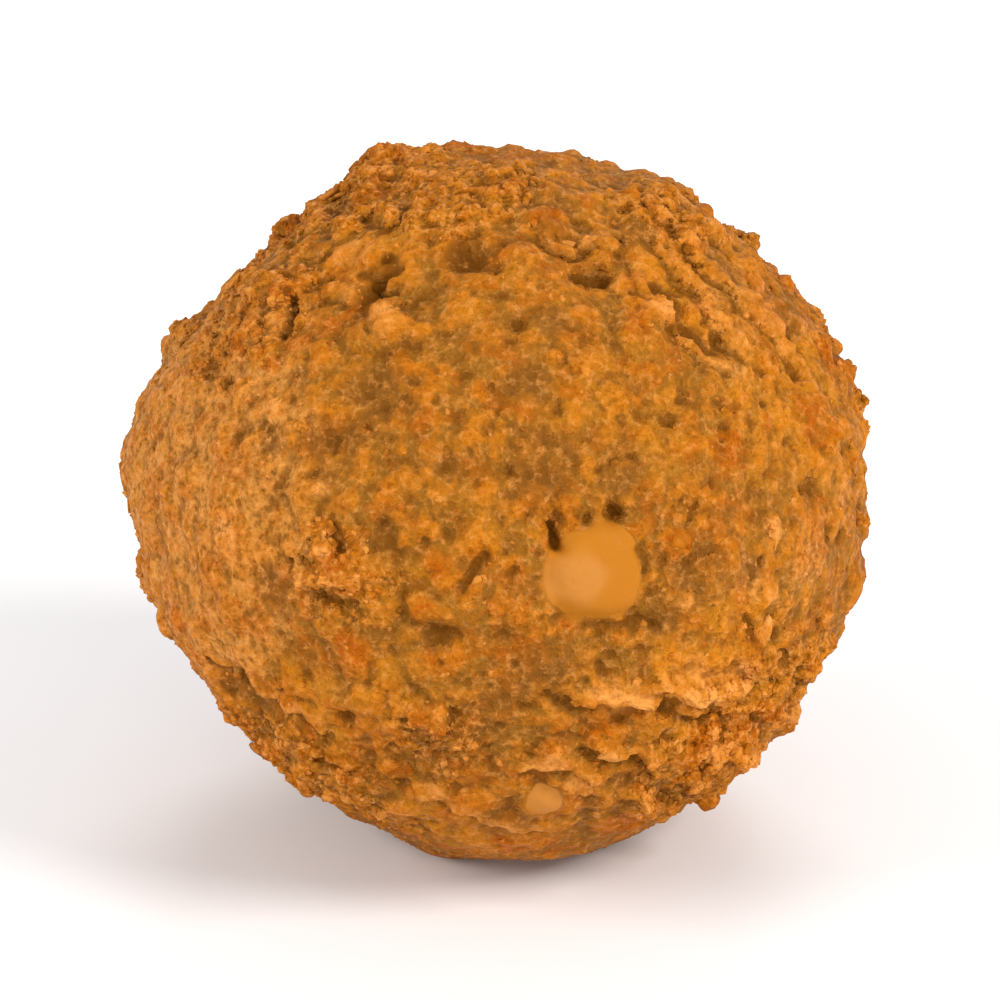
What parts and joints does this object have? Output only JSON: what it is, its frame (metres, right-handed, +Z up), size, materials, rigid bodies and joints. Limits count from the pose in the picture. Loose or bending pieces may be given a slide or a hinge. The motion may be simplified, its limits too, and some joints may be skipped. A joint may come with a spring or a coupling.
{
  "type": "falafel ball",
  "caption": "Fried falafel ball with a crumbly golden-brown crust, open bubbles, torn ledges and a bare piece of chickpea, resting on a small flat spot.",
  "frame": {"origin": "middle of the box seen from above, at the height of the resting spot", "axes": "+Z up, the side shown in the picture faces -Y and a little up, +X to its right"},
  "size_m": [0.0398, 0.0384, 0.0368],
  "materials": {
    "fried_crust": "matt, crumbly golden-brown crust of fried chickpea dough"
  },
  "bodies": {
    "root": {"falafel": "fried_crust"}
  },
  "joints": []
}
